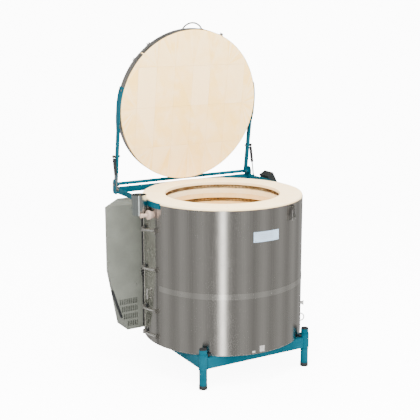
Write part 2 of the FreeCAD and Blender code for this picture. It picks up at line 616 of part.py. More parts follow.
HANDLE_X = -4.5
HANDLE_HALF = 61.5
HANDLE_H = 36.0
HANDLE_BAR_R = 4.5
arch_r = (HANDLE_HALF**2 + HANDLE_H**2) / (2 * HANDLE_H)
arch_y = -430.0 - HANDLE_H + arch_r
arch = Part.Face(Part.Wire(Part.makeCircle(HANDLE_BAR_R, V(HANDLE_X, arch_y - arch_r, mid_z), V(1, 0, 0))))
arch = arch.revolve(V(HANDLE_X, arch_y, mid_z), V(0, 0, 1), 150)
arch.rotate(V(HANDLE_X, arch_y, mid_z), V(0, 0, 1), -75)
handle = arch.cut(lid_core)
for x in (HANDLE_X - HANDLE_HALF, HANDLE_X + HANDLE_HALF):
    pad = arc_plate((BAND_R + 0.1, BAND_R + 2.6), (mid_z - 12, mid_z + 12), (-1.6, 1.6))
    handle = handle.fuse(turned(pad, math.degrees(math.asin(x / BAND_R))))
save("lid_handle", opened(handle))

STRAP_PHI = 15.9
arm_outline = [
    (HINGE_Y, ARM_Z[0]), (HINGE_Y + 6, ARM_Z[0]), (HINGE_Y + 20, ARM_Z[1]), (HINGE_Y, ARM_Z[1]),
    (130.0, ARM_Z[1]), (64.0, band_z[1]), (0.0, band_z[1]), (0.0, band_z[0]), (64.0, band_z[0]),
    (130.0, ARM_Z[0]),
]
arm = prism_yz(arm_outline, ARM_X)
arm = arm.fuse(pin(16.0, (ARM_X[0], HINGE_Y, HINGE_Z), (ARM_X[1], HINGE_Y, HINGE_Z)))
arm = arm.fuse(pin(12.0, (ARM_X[0], *CROSS_TUBE[:2]), (ARM_X[1], *CROSS_TUBE[:2])))
web = [
    (HINGE_Y - 16, HINGE_Z), (HINGE_Y + 16, HINGE_Z),
    (CROSS_TUBE[0] + 12, CROSS_TUBE[1]), (CROSS_TUBE[0] - 12, CROSS_TUBE[1]),
]
arm = arm.fuse(prism_yz(web, ARM_X))
arm = arm.fuse(pin(12.0, (426.0, HINGE_Y, HINGE_Z), (ARM_X[0], HINGE_Y, HINGE_Z)))
arm = arm.fuse(box((ARM_INNER_X, ARM_X[0]), (112.0, HINGE_Y - 5), ARM_Z))
arm = arm.fuse(arc_plate(ARM_X, band_z, (90 - STRAP_PHI, 90)))
arm = arm.cut(pin(PIVOT_R, (400, HINGE_Y, HINGE_Z), (480, HINGE_Y, HINGE_Z)))
arm = arm.cut(pin(ROD_R, (400, *STRUT_TOP), (480, *STRUT_TOP)))
arm = arm.cut(Part.makeCompound(rivet_holes))
save("lid_arm_right", opened(arm))
save("lid_arm_left", opened(mirrored(arm)))

tube_y, tube_z, tube_r = CROSS_TUBE
cross = pin(tube_r, (-ARM_X[0], tube_y, tube_z), (ARM_X[0], tube_y, tube_z))
save("lid_cross_tube", opened(cross.cut(pin(tube_r - 2, (-500, tube_y, tube_z), (500, tube_y, tube_z)))))

rivets = []
for side in (-1, 1):
    for z in RIVETS_Z:
        rivet = pin(2.9, (0, -BAND_R + 0.9, z), (0, -ARM_X[1], z)).fuse(
            pin(6.0, (0, -ARM_X[1], z), (0, -ARM_X[1] - 3, z))
        )
        rivets.append(opened(turned(rivet, side * RIVET_PHI)))

strut_pin = pin(ROD_R - 0.05, (420, *STRUT_TOP), (STRUT_X + 6, *STRUT_TOP))
strut_pin = strut_pin.fuse(pin(7.0, (416, *STRUT_TOP), (421, *STRUT_TOP)))
strut_pin = strut_pin.fuse(pin(6.5, (STRUT_X + 4.5, *STRUT_TOP), (STRUT_X + 8, *STRUT_TOP)))
save("lid_pins", opened(strut_pin), opened(mirrored(strut_pin)), *rivets)

# ---- gas struts, drawn upright at full length, then laid between their pivots -------
lift = math.radians(LID_OPEN_DEG)
off_y, off_z = STRUT_TOP[0] - HINGE_Y, STRUT_TOP[1] - HINGE_Z
open_top = (
    HINGE_Y + off_y * math.cos(lift) + off_z * math.sin(lift),
    HINGE_Z - off_y * math.sin(lift) + off_z * math.cos(lift),
)
long = math.hypot(open_top[0] - STRUT_FOOT[0], open_top[1] - STRUT_FOOT[1])
short = math.hypot(STRUT_TOP[0] - STRUT_FOOT[0], STRUT_TOP[1] - STRUT_FOOT[1])
lean = math.degrees(math.atan2(open_top[0] - STRUT_FOOT[0], open_top[1] - STRUT_FOOT[1]))
PISTON_AT = 84.0  # from the top pivot with the strut long


def strut_eye(z, radius, bore_r):
    eye = pin(radius, (STRUT_X - EYE_HALF, 0, z), (STRUT_X + EYE_HALF, 0, z))
    return eye, pin(bore_r, (STRUT_X - 20, 0, z), (STRUT_X + 20, 0, z))


def strut_place(shape):
    """From upright with its top pivot at y = z = 0 to its place with the lid open."""
    copy = shape.copy()
    copy.rotate(V(0, 0, 0), V(1, 0, 0), -lean)
    copy.translate(V(0, open_top[0], open_top[1]))
    return copy


eye, eye_bore = strut_eye(0, 9.0, ROD_R)
barrel = eye.fuse(post(4.0, STRUT_X, 0, (-16, -6))).fuse(post(BARREL_R, STRUT_X, 0, (-BARREL_END, -12)))
barrel = barrel.cut(eye_bore).cut(post(5.5, STRUT_X, 0, (-BARREL_END + 8, -15)))
barrel = barrel.cut(post(ROD_R, STRUT_X, 0, (-BARREL_END - 1, -20)))
foot_eye, foot_bore = strut_eye(-long, 8.0, 4.5)
rod = post(ROD_R - 0.06, STRUT_X, 0, (-long + 5, -PISTON_AT))
rod = rod.fuse(post(5.43, STRUT_X, 0, (-PISTON_AT - 8, -PISTON_AT)))
rod = rod.fuse(foot_eye).fuse(post(4.6, STRUT_X, 0, (-long + 6, -long + 15))).cut(foot_bore)
for name, side in (("right", 1), ("left", -1)):
    save("strut_cylinder_" + name, strut_place(sided(barrel, side)))
    save("strut_rod_" + name, strut_place(sided(rod, side)))

# ---- controller and its holder ------------------------------------------------------
def control_place(shape):
    copy = shape.copy()
    copy.rotate(V(0, 0, 0), V(0, 1, 0), -CONTROL_TILT)
    copy.translate(V(CONTROL_TOP[0], 0, CONTROL_TOP[1]))
    return copy


y0, y1 = CONTROL_Y
housing = box((-CONTROL_T, 0), CONTROL_Y, (-CONTROL_L, 0))
housing = housing.makeFillet(5.0, [e for e in housing.Edges if e.BoundBox.XLength > 10])
ROCKER_Z = (-166.0, -150.0)
ROCKER_Y = (y0 + 30, y0 + 56)
pocket = box((-9, 5), ROCKER_Y, ROCKER_Z)
save("controller_housing", control_place(housing.cut(pocket)))
panel = box((0, 1.5), (y0 + 6, y1 - 6), (-CONTROL_L + 8, -8)).cut(pocket)
screen = box((1.5, 2.6), (y0 + 18, y1 - 18), (-62, -24))
keys = []
for row in range(2):
    for col in range(3):
        y = y0 + 20 + col * 21
        z = -84 - row * 22
        keys.append(box((1.5, 2.3), (y, y + 13), (z - 9, z)))
face = panel.fuse(screen)
for key in keys:
    face = face.fuse(key)
save("controller_face", control_place(face))
rocker_y = (ROCKER_Y[0] + 0.6, ROCKER_Y[1] - 0.6)
rocker_mid = sum(ROCKER_Z) / 2
rocker = prism_xz(
    [(-7, rocker_mid - 2), (-7, rocker_mid + 2), (1.5, rocker_mid + 6.8), (4.2, rocker_mid + 6.4),
     (2.0, rocker_mid), (1.2, rocker_mid - 6.6), (-0.4, rocker_mid - 6.8)],
    rocker_y,
)
rocker = rocker.fuse(pin(2.5, (-4, ROCKER_Y[0] + 0.3, rocker_mid), (-4, ROCKER_Y[1] - 0.3, rocker_mid)))
save("power_rocker", control_place(rocker))

cradle = box((-CONTROL_T - 3, -CONTROL_T - 0.1), (y0 - 3, y1 + 3), (-CONTROL_L - 3, -20))
cradle = cradle.fuse(box((-CONTROL_T - 3, 6), (y0 - 3, y1 + 3), (-CONTROL_L - 3, -CONTROL_L - 0.1)))
cradle = cradle.fuse(box((3, 6), (y0 - 3, y1 + 3), (-CONTROL_L - 3, -CONTROL_L + 7)))
for y in ((y0 - 3, y0 - 0.1), (y1 + 0.1, y1 + 3)):
    cradle = cradle.fuse(box((-CONTROL_T - 3, -10), y, (-CONTROL_L - 3, -110)))
cradle = control_place(cradle)
ARM_Y = (334.0, 370.0)
ARM_TOP = MEMBER_Z[0] - 0.1
carrier = box((436.0, 513.0), ARM_Y, (ARM_TOP - 6, ARM_TOP))
carrier = carrier.fuse(box((MEMBER_X[1] + 0.1, MEMBER_X[1] + 4), ARM_Y, (ARM_TOP - 6, ARM_TOP + 10)))
save("controller_holder", cradle.fuse(carrier))
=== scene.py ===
import json
import math
import bpy
import numpy as np
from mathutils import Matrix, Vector


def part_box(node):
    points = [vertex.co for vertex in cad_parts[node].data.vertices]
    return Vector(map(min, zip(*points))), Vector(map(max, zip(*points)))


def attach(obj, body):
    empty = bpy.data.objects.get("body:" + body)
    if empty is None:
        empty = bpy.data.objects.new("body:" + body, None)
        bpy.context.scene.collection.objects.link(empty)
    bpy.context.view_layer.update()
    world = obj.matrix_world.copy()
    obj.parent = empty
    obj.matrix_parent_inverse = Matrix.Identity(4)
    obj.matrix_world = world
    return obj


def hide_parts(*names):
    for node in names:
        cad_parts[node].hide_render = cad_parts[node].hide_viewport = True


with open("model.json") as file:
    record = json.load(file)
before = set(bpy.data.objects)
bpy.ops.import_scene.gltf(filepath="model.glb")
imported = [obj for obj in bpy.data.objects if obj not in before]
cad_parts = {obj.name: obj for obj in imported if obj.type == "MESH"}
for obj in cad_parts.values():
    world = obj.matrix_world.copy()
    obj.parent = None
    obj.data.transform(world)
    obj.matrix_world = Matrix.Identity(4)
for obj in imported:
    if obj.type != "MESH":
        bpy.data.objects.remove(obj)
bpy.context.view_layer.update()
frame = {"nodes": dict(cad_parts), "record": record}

nodes = frame["nodes"]
record = frame["record"]
slot_of = {part["node"]: part["material_slot"] for part in record["subparts"]}
scene = bpy.context.scene


# ---- material building ----------------------------------------------------------------
def fill_ramp(node, stops):
    line = node.color_ramp
    while len(line.elements) < len(stops):
        line.elements.new(0.5)
    for element, (pos, color) in zip(line.elements, stops):
        element.position = pos
        element.color = (*color, 1)


def either(tree, fac, off, on):
    """The shader off where fac is 0 and on where it is 1."""
    made = tree.nodes.new("ShaderNodeMixShader")
    for source, socket in zip((fac, off, on), made.inputs):
        tree.links.new(source, socket)
    return made.outputs[0]


class Look:
    """One node material, built from a few kinds of procedural detail."""

    def __init__(self, name, rough=0.5, metal=0.0):
        self.mat = bpy.data.materials.new(name)
        self.mat.use_nodes = True
        self.tree = self.mat.node_tree
        self.bsdf = self.tree.nodes["Principled BSDF"]
        self.set("Roughness", rough)
        self.set("Metallic", metal)
        self.normal = None

    def set(self, socket, value):
        self.bsdf.inputs[socket].default_value = value

    def node(self, kind, **props):
        made = self.tree.nodes.new("ShaderNode" + kind)
        for key, value in props.items():
            setattr(made, key, value)
        return made

    def link(self, out, socket):
        self.tree.links.new(out, socket)

    def feed(self, value, socket):
        """Links or sets a socket, whichever the value calls for."""
        if isinstance(value, bpy.types.NodeSocket):
            self.link(value, socket)
        elif isinstance(value, tuple):
            socket.default_value = (*value, 1)
        else:
            socket.default_value = value

    def place(self, scale=(1, 1, 1)):
        coords = self.node("TexCoord")
        mapping = self.node("Mapping")
        mapping.inputs["Scale"].default_value = scale
        self.link(coords.outputs["Object"], mapping.inputs["Vector"])
        return mapping.outputs["Vector"]

    def noise(self, size, detail=3.0, scale=(1, 1, 1), rough=0.55):
        """Noise with features about this size, in metres."""
        tex = self.node("TexNoise")
        tex.inputs["Scale"].default_value = 1.0 / size
        tex.inputs["Detail"].default_value = detail
        tex.inputs["Roughness"].default_value = rough
        self.link(self.place(scale), tex.inputs["Vector"])
        return tex.outputs["Fac"]

    def cells(self, size):
        tex = self.node("TexVoronoi")
        tex.inputs["Scale"].default_value = 1.0 / size
        self.link(self.place(), tex.inputs["Vector"])
        return tex.outputs["Distance"]

    def island(self):
        return self.node("NewGeometry").outputs["Random Per Island"]

    def ramp(self, fac, stops):
        made = self.node("ValToRGB")
        fill_ramp(made, stops)
        self.link(fac, made.inputs["Fac"])
        return made.outputs["Color"]

    def band(self, fac, low, high, a=0.0, b=1.0):
        """A value that goes from a to b as fac goes from low to high."""
        made = self.node("MapRange")
        for socket, value in zip(("From Min", "From Max", "To Min", "To Max"), (low, high, a, b)):
            made.inputs[socket].default_value = value
        self.link(fac, made.inputs["Value"])
        return made.outputs["Result"]

    def mix(self, fac, a, b):
        made = self.node("Mix", data_type="RGBA")
        for value, socket in ((fac, made.inputs[0]), (a, made.inputs[6]), (b, made.inputs[7])):
            self.feed(value, socket)
        return made.outputs[2]

    def math(self, how, a, b=0.0):
        made = self.node("Math", operation=how)
        for value, socket in zip((a, b), made.inputs):
            self.feed(value, socket)
        return made.outputs[0]

    def color(self, value):
        self.feed(value, self.bsdf.inputs["Base Color"])

    def rough(self, value):
        self.link(value, self.bsdf.inputs["Roughness"])

    def bump(self, height, depth):
        """Adds relief of this depth in metres."""
        made = self.node("Bump")
        made.inputs["Distance"].default_value = depth
        made.inputs["Strength"].default_value = 1.0
        self.link(height, made.inputs["Height"])
        if self.normal is not None:
            self.link(self.normal, made.inputs["Normal"])
        self.normal = made.outputs["Normal"]
        self.link(self.normal, self.bsdf.inputs["Normal"])

    def soften(self, radius):
        """Rounds the shading of sharp edges. Comes before any bump."""
        made = self.node("Bevel", samples=4)
        made.inputs["Radius"].default_value = radius
        self.normal = made.outputs["Normal"]
        self.link(self.normal, self.bsdf.inputs["Normal"])

    def round_about_z(self):
        """Shades faces that look outwards as a true cylinder about the kiln's axis."""
        coords = self.node("TexCoord")
        flat = self.node("VectorMath", operation="MULTIPLY")
        flat.inputs[1].default_value = (1.0, 1.0, 0.0)
        self.link(coords.outputs["Object"], flat.inputs[0])
        unit = self.node("VectorMath", operation="NORMALIZE")
        self.link(flat.outputs["Vector"], unit.inputs[0])
        shape = self.node("NewGeometry")
        dot = self.node("VectorMath", operation="DOT_PRODUCT")
        self.link(unit.outputs["Vector"], dot.inputs[0])
        self.link(shape.outputs["True Normal"], dot.inputs[1])
        outer = self.math("GREATER_THAN", dot.outputs["Value"], 0.9)
        made = self.node("Mix", data_type="VECTOR")
        self.link(outer, made.inputs[0])
        self.link(shape.outputs["Normal"], made.inputs[4])
        self.link(unit.outputs["Vector"], made.inputs[5])
        self.normal = made.outputs[1]
        self.link(self.normal, self.bsdf.inputs["Normal"])

    def edges(self, radius):
        """1 near sharp edges, 0 on flats."""
        bevel = self.node("Bevel", samples=4)
        bevel.inputs["Radius"].default_value = radius
        dot = self.node("VectorMath", operation="DOT_PRODUCT")
        self.link(bevel.outputs["Normal"], dot.inputs[0])
        self.link(self.node("NewGeometry").outputs["Normal"], dot.inputs[1])
        return self.band(dot.outputs["Value"], 0.985, 0.88)


def paint(name, color, rough=0.35, edge_wear_and_highlight=(0.25, 0.25, 0.25), edge=0.0012, peel=0.004):
    look = Look(name, rough)
    look.soften(edge)
    dark = tuple(c * 0.86 for c in color)
    light = tuple(min(1.0, c * 1.08 + 0.004) for c in color)
    tone = look.ramp(look.noise(0.11, 4), [(0.3, dark), (0.7, light)])
    # edges lighten in patches: partly wear, partly a painted highlight along the edges
    worn_and_highlit = look.math("MULTIPLY", look.edges(edge), look.band(look.noise(0.02, 5), 0.50, 0.66))
    tone = look.mix(look.math("MULTIPLY", worn_and_highlit, 0.5), tone, edge_wear_and_highlight)
    look.color(tone)
    look.rough(look.band(look.noise(0.03, 5), 0.3, 0.7, rough * 0.82, rough * 1.25))
    look.bump(look.noise(peel, 2), 0.00006)
    return look


def steel(name, color=(0.60, 0.58, 0.55), rough=0.22, streak=(1, 1, 0.006), depth=0.00002, spread=0.14,
          size=0.0022, brushed=0.0, true_round=False):
    look = Look(name, rough, 1.0)
    if brushed:
        # grain runs round the kiln, so reflections smear upright and stay sharp sideways
        look.set("Anisotropic", brushed)
        look.set("Anisotropic Rotation", 0.25)
        tangent = look.node("Tangent", direction_type="RADIAL", axis="Z")
        look.link(tangent.outputs["Tangent"], look.bsdf.inputs["Tangent"])
    if true_round:
        look.round_about_z()
    lines = look.noise(size, 3, streak, 0.7)
    broad = look.noise(0.05, 3, streak, 0.6)
    dark = tuple(c * (1 - spread) for c in color)
    light = tuple(min(1.0, c * (1 + spread)) for c in color)
    tone = look.ramp(lines, [(0.32, dark), (0.68, light)])
    tone = look.mix(look.band(broad, 0.35, 0.65, 0.0, 0.35), tone, tuple(c * 0.86 for c in color))
    smudge = look.band(look.noise(0.16, 5), 0.52, 0.74, 0.0, 0.10)
    tone = look.mix(smudge, tone, tuple(c * 0.75 for c in color))
    look.color(tone)
    base = look.band(lines, 0.3, 0.7, rough * 0.8, rough * 1.2)
    look.rough(look.math("ADD", base, look.band(look.noise(0.09, 4), 0.45, 0.75, 0.0, 0.07)))
    if not brushed:
        look.bump(lines, depth)
    return look


def brick(name, pale, warm, deep, grain=1.0, rough=0.92, joint=0.0):
    look = Look(name, rough)
    look.set("Specular IOR Level", 0.18)
    pick = look.island()
    middle = tuple(0.5 * (a + b) for a, b in zip(pale, warm))
    each = look.ramp(pick, [(0.0, pale), (0.45, middle), (1.0, warm)])
    cloud = look.band(look.noise(0.09, 4), 0.42, 0.66, 0.0, 0.85)
    tone = look.mix(cloud, each, pale)
    patches = look.band(look.noise(0.055, 3, (1, 1, 0.7)), 0.50, 0.62)
    stain = look.math("MULTIPLY", patches, look.band(pick, 0.35, 0.9))
    tone = look.mix(look.math("MULTIPLY", stain, 0.55), tone, warm)
    if joint:
        tone = look.mix(look.math("MULTIPLY", look.edges(0.0035), joint), tone, deep)
    streaks = look.band(look.noise(0.012, 4, (1, 1, 0.3)), 0.55, 0.8, 0.0, 0.22 * grain)
    tone = look.mix(streaks, tone, deep)
    pores = look.band(look.cells(0.0022), 0.10, 0.32, 1.0, 0.0)
    sparse = look.math("MULTIPLY", pores, look.band(look.noise(0.006, 3), 0.45, 0.62))
    tone = look.mix(look.math("MULTIPLY", sparse, 0.30 * grain), tone, deep)
    look.color(tone)
    look.soften(0.0012)
    look.bump(look.noise(0.0016, 3), 0.0003 * grain)
    look.bump(look.math("MULTIPLY", sparse, -1.0), 0.0006 * grain)
    return look


TEAL = (0.0, 0.054, 0.080)
TEAL_SHEEN = (0.0, 0.55, 0.70, 1.0)
# name, then base colour, roughness and the colour of worn edges, which also serves as a painted edge highlight,
# then edge radius and size of orange peel
PAINTS = (
    ("frame_paint", (TEAL, 0.42, (0.01, 0.09, 0.12))),
    ("box_paint", ((0.110, 0.115, 0.097), 0.46, (0.20, 0.20, 0.18), 0.001)),
    ("dark_trim", ((0.016, 0.017, 0.018), 0.38, (0.12, 0.12, 0.12), 0.0008)),
    ("black_plastic", ((0.014, 0.014, 0.015), 0.5, (0.07, 0.07, 0.07), 0.001, 0.0016)),
    ("strut_barrel", ((0.010, 0.010, 0.011), 0.22, (0.05, 0.05, 0.05), 0.0006)),
    ("controller_case", ((0.008, 0.010, 0.010), 0.5, (0.03, 0.03, 0.03), 0.0015, 0.0012)),
    ("controller_panel", ((0.030, 0.034, 0.038), 0.3, (0.12, 0.12, 0.12), 0.0005, 0.003)),
    ("rocker", ((0.012, 0.012, 0.012), 0.2, (0.05, 0.05, 0.05), 0.0005)),
    ("plate_label", ((0.30, 0.40, 0.50), 0.32, (0.3, 0.3, 0.3), 0.0004)),
)
# name, then base colour, roughness, streak scale, relief, colour spread and streak size
STEELS = (
    ("stainless", ((0.61, 0.59, 0.56), 0.24)),
    ("bright_steel", ((0.72, 0.71, 0.69), 0.16, (1, 1, 1), 0.00001, 0.05, 0.004)),
    ("element_wire", ((0.20, 0.155, 0.115), 0.55, (1, 1, 1), 0.00003, 0.3, 0.01)),
    ("strut_rod", ((0.50, 0.50, 0.50), 0.18, (1, 1, 1), 0.000005, 0.04, 0.003)),
)
# name, then pale, warm and deep colours, grain and roughness, then how much the joints show
BRICKS = (
    ("lid_brick", ((0.94, 0.68, 0.35), (0.93, 0.60, 0.17), (0.74, 0.42, 0.12), 0.8), 0.5),
    ("rim_brick", ((0.96, 0.77, 0.47), (0.95, 0.71, 0.37), (0.74, 0.48, 0.20), 0.7), 0.25),
    ("floor_brick", ((0.90, 0.62, 0.34), (0.88, 0.54, 0.22), (0.55, 0.32, 0.13)), 0.5),
    ("wall_brick", ((0.94, 0.66, 0.31), (0.92, 0.58, 0.20), (0.46, 0.28, 0.11)), 0.5),
    ("insulation", ((0.84, 0.82, 0.78), (0.82, 0.79, 0.73), (0.66, 0.62, 0.56), 0.6), 0.0),
    ("ceramic", ((0.36, 0.26, 0.215), (0.33, 0.23, 0.18), (0.22, 0.15, 0.11), 0.5, 0.7), 0.0),
)
SPECULAR_LEVELS = (("frame_paint", 0.3), ("box_paint", 0.3), ("dark_trim", 0.2), ("controller_case", 0.25))
looks = {name: paint(name, *about) for name, about in PAINTS}
looks.update({name: steel(name, *about) for name, about in STEELS})
looks.update({name: brick(name, *about, joint=joint) for name, about, joint in BRICKS})
for name, level in SPECULAR_LEVELS:
    looks[name].set("Specular IOR Level", level)
looks["frame_paint"].set("Specular Tint", TEAL_SHEEN)

STAINLESS = (0.61, 0.59, 0.56)
jacket_steel = steel("jacket_steel", STAINLESS, 0.22, spread=0.09, brushed=0.93, true_round=True)
strap_steel = steel("strap_steel", (0.78, 0.76, 0.72), 0.24, spread=0.06, brushed=0.92, true_round=True)

for name, obj in nodes.items():
    obj.data.materials.clear()
    obj.data.materials.append(looks[slot_of[name]].mat)
dull_steel = steel("dull_steel", (0.40, 0.39, 0.37), 0.42)
pipe_steel = steel("pipe_steel", (0.55, 0.60, 0.60), 0.20, spread=0.06, brushed=0.90)
for name, look in (
    ("jacket", jacket_steel), ("vent_pipe", pipe_steel), ("jacket_band", strap_steel),
    ("seam_spring_brackets", dull_steel), ("latch_base", dull_steel), ("latch_lever", dull_steel),
):
    nodes[name].data.materials.clear()
    nodes[name].data.materials.append(look.mat)


# ---- piece building -------------------------------------------------------------------
def piece(name, verts, faces, body, slot_name, look=None, smooth=True, stands_for=()):
    mesh = bpy.data.meshes.new(name)
    mesh.from_pydata([tuple(v) for v in verts], [], [tuple(f) for f in faces])
    mesh.validate()
    mesh.materials.append((look or looks[slot_name]).mat)
    obj = bpy.data.objects.new(name, mesh)
    scene.collection.objects.link(obj)
    if smooth:
        mesh.polygons.foreach_set("use_smooth", [True] * len(mesh.polygons))
    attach(obj, body)
    if stands_for:
        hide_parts(*stands_for)
    return obj


def skin(rings):
    """Rings of points, equal in count, joined into a closed tube."""
    sides = len(rings[0])
    faces = []
    for i in range(len(rings) - 1):
        a, b = i * sides, (i + 1) * sides
        for k in range(sides):
            m = (k + 1) % sides
            faces.append((a + k, a + m, b + m, b + k))
    faces.append(tuple(range(sides - 1, -1, -1)))
    faces.append(tuple(range((len(rings) - 1) * sides, len(rings) * sides)))
    return np.concatenate(rings), faces


def circle(centre, side, other, r, sides):
    turns = [2 * math.pi * k / sides for k in range(sides)]
    return np.array([centre + r * (math.cos(a) * side + math.sin(a) * other) for a in turns])


def coil(ring_r, z, phi, coil_r, wire_r, pitch, per_turn=12, sides=5, wobble=0.05):
    """Wire coiled round an arc about the kiln's axis, as vertices and faces."""
    start, end = (math.radians(p) for p in phi)
    turns = ring_r * abs(end - start) / pitch
    count = int(turns * per_turn)
    t = np.linspace(0.0, 1.0, count)
    ang = start + (end - start) * t
    twist = 2 * math.pi * turns * t
    radial = np.stack([np.sin(ang), -np.cos(ang), 0 * ang], 1)
    along = np.stack([np.cos(ang), np.sin(ang), 0 * ang], 1)
    up = np.array([0.0, 0.0, 1.0])
    wander = 1.0 + wobble * np.sin(ang * 37.0 + z * 91.0)
    out = np.cos(twist)[:, None] * radial + np.sin(twist)[:, None] * up
    centre = ring_r * radial + z * up + (coil_r * wander)[:, None] * out
    rings = []
    for k in range(sides):
        a = 2 * math.pi * k / sides
        rings.append(centre + wire_r * (math.cos(a) * out + math.sin(a) * along))
    verts = np.stack(rings, 1).reshape(-1, 3)
    first = np.arange(count - 1)[:, None] * sides
    k = np.arange(sides)[None, :]
    m = (k + 1) % sides
    quads = np.stack([first + k, first + m, first + sides + m, first + sides + k], 2).reshape(-1, 4)
    return verts, quads.tolist()


def joined(parts):
    verts, faces, base = [], [], 0
    for v, f in parts:
        verts.extend([tuple(p) for p in v])
        faces.extend([tuple(i + base for i in face) for face in f])
        base += len(v)
    return verts, faces


def rod(points, radius, sides=8):
    """Round wire through points."""
    pts = [Vector(p) for p in points]
    rings = []
    side = None
    for i, p in enumerate(pts):
        a = pts[max(i - 1, 0)]
        b = pts[min(i + 1, len(pts) - 1)]
        way = (b - a).normalized()
        if side is None:
            side = way.orthogonal().normalized()
        side = (side - way * side.dot(way)).normalized()
        other = way.cross(side)
        rings.append(circle(p, side, other, radius, sides))
    return skin(rings)


def lathe(profile, centre, axis, sides=24):
    """Profile of (along, radius) turned about an axis."""
    axis = Vector(axis).normalized()
    side = axis.orthogonal().normalized()
    other = axis.cross(side)
    centre = Vector(centre)
    return skin([circle(centre + axis * along, side, other, r, sides) for along, r in profile])


def hex_head(centre, axis, r, h):
    """Hexagon screw head with a chamfered top and a washer under it."""
    washer = lathe([(0, r * 1.3), (0.0010, r * 1.3), (0.0012, r * 1.22)], centre, axis, 20)
    head = lathe([(0.0008, r), (h * 0.8, r), (h, r * 0.86)], centre, axis, 6)
    return joined([washer, head])


def around(r, phi_deg, z):
    a = math.radians(phi_deg)
    return Vector((r * math.sin(a), -r * math.cos(a), z))


def outward(phi_deg):
    a = math.radians(phi_deg)
    return Vector((math.sin(a), -math.cos(a), 0))


# ---- sizes read from the CAD ----------------------------------------------------------
jacket_low, jacket_high = (Vector(v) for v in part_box("jacket"))
jacket_r = jacket_high.x
element_low, element_high = (Vector(v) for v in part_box("heating_elements"))
ELEMENT_ROWS = 8
coil_r = 0.0095
top_row = element_high.z - coil_r
row_pitch = (element_high.z - element_low.z - 2 * coil_r) / (ELEMENT_ROWS - 1)
ring_r = 0.3265
ELEMENT_ARC = (-122.0, 228.0)
LEAD_PHI, LINK_PHI = -122, -132
LEAD_R = 0.0026
STAPLES_PER_ROW = 20
STAPLE_R0, STAPLE_R1, STAPLE_HALF = 0.3166, 0.337, 0.0108

# ---- heating elements: coiled wire in every groove ------------------------------------
parts = []
for i in range(ELEMENT_ROWS):
    z = top_row - i * row_pitch
    parts.append(coil(ring_r, z, ELEMENT_ARC, coil_r - 0.0018, 0.0015, 0.0085))
    parts.append(rod([around(r, LEAD_PHI, z) for r in (ring_r, 0.40, 0.462)], LEAD_R, 8))
for i in range(0, ELEMENT_ROWS, 2):
    z = top_row - i * row_pitch
    parts.append(rod([around(ring_r, LINK_PHI, h) for h in (z, z - row_pitch)], LEAD_R, 8))
piece("element_coils", *joined(parts), "kiln", "element_wire", stands_for=("heating_elements",))

# staples that hold the coils down in the grooves
parts = []
for i in range(ELEMENT_ROWS):
    z = top_row - i * row_pitch
    for k in range(STAPLES_PER_ROW):
        phi = 9 + k * 18 + (9 if i % 2 else 0)
        # none where the leads pass through the wall
        if abs((phi + 180) % 360 - 180 + 127) < 9:
            continue
        corners = ((STAPLE_R1, 1), (STAPLE_R0, 1), (STAPLE_R0, -1), (STAPLE_R1, -1))
        parts.append(rod([around(r, phi, z + way * STAPLE_HALF) for r, way in corners], 0.0007, 5))
piece("element_staples", *joined(parts), "kiln", "element_wire", smooth=False)

# ---- seam springs: close-wound coils between their brackets ---------------------------
spring_high = Vector(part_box("seam_springs")[1])
SPRING_MID, SPRING_HALF = -94.75, 11.25
SPRING_DROP = 0.030
SPRING_DROPS = (0.0, 0.215, 0.442, 0.583)
spring_r = jacket_r + 0.006
spring_top = spring_high.z - SPRING_DROP / 2 - 0.0045
slope = math.atan(SPRING_DROP / (2 * math.sin(math.radians(SPRING_HALF)) * spring_r))


def sloped(point, z):
    """A point of a level spring drawn at the front, tipped and moved to its place."""
    x, y, h = point
    tipped = (x * math.cos(slope) - h * math.sin(slope), y, x * math.sin(slope) + h * math.cos(slope))
    a = math.radians(SPRING_MID)
    return (
        tipped[0] * math.cos(a) - tipped[1] * math.sin(a),
        tipped[0] * math.sin(a) + tipped[1] * math.cos(a),
        tipped[2] + z,
    )


parts = []
for drop in SPRING_DROPS:
    z = spring_top - drop
    body = SPRING_HALF - 1.3
    made = [coil(spring_r, 0.0, (-body, body), 0.0042, 0.0010, 0.0030, 14, 6, 0.0)]
    for side in (-1, 1):
        pts = [around(spring_r + 0.0032 * math.cos(a), side * (body + 0.10 * i), 0.0032 * math.sin(a))
               for i, a in enumerate([0, 0.8, 1.6, 2.4, 3.2])]
        pts += [around(spring_r, side * (body + 0.8), 0), around(spring_r + 0.001, side * (SPRING_HALF + 0.4), 0)]
        made.append(rod(pts, 0.0010, 6))
    verts, faces = joined(made)
    parts.append(([sloped(v, z) for v in verts], faces))
spring_look = steel("spring_wire", (0.95, 0.94, 0.91), 0.34, (1, 1, 1), 0.00001, 0.04, 0.004)
piece("seam_spring_coils", *joined(parts), "kiln", "bright_steel", spring_look, stands_for=("seam_springs",))

# ---- data plate: three plain ruled lines, no words ------------------------------------
print_look = Look("plate_print", 0.4)
ink = ((0.3, (0.16, 0.16, 0.16)), (0.7, (0.22, 0.22, 0.22)))
print_look.color(print_look.ramp(print_look.noise(0.004, 3), ink))


def plate_bar(phi, z, radius, steps=8):
    verts = []
    for i in range(steps + 1):
        p = phi[0] + (phi[1] - phi[0]) * i / steps
        verts += [around(radius, p, z[0]), around(radius, p, z[1])]
    faces = [(2 * i, 2 * i + 2, 2 * i + 3, 2 * i + 1) for i in range(steps)]
    return verts, faces


plate_low, plate_high = (Vector(v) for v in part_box("data_plate"))
plate_r = 0.44122
zc = (plate_low.z + plate_high.z) / 2
RULE_ARC, RULE_HALF, RULE_ROWS = (-5.5, 5.5), 0.0008, (-0.010, 0.0, 0.010)
parts = [plate_bar(RULE_ARC, (zc + row - RULE_HALF, zc + row + RULE_HALF), plate_r) for row in RULE_ROWS]
piece("plate_print", *joined(parts), "kiln", "plate_label", print_look, smooth=False)

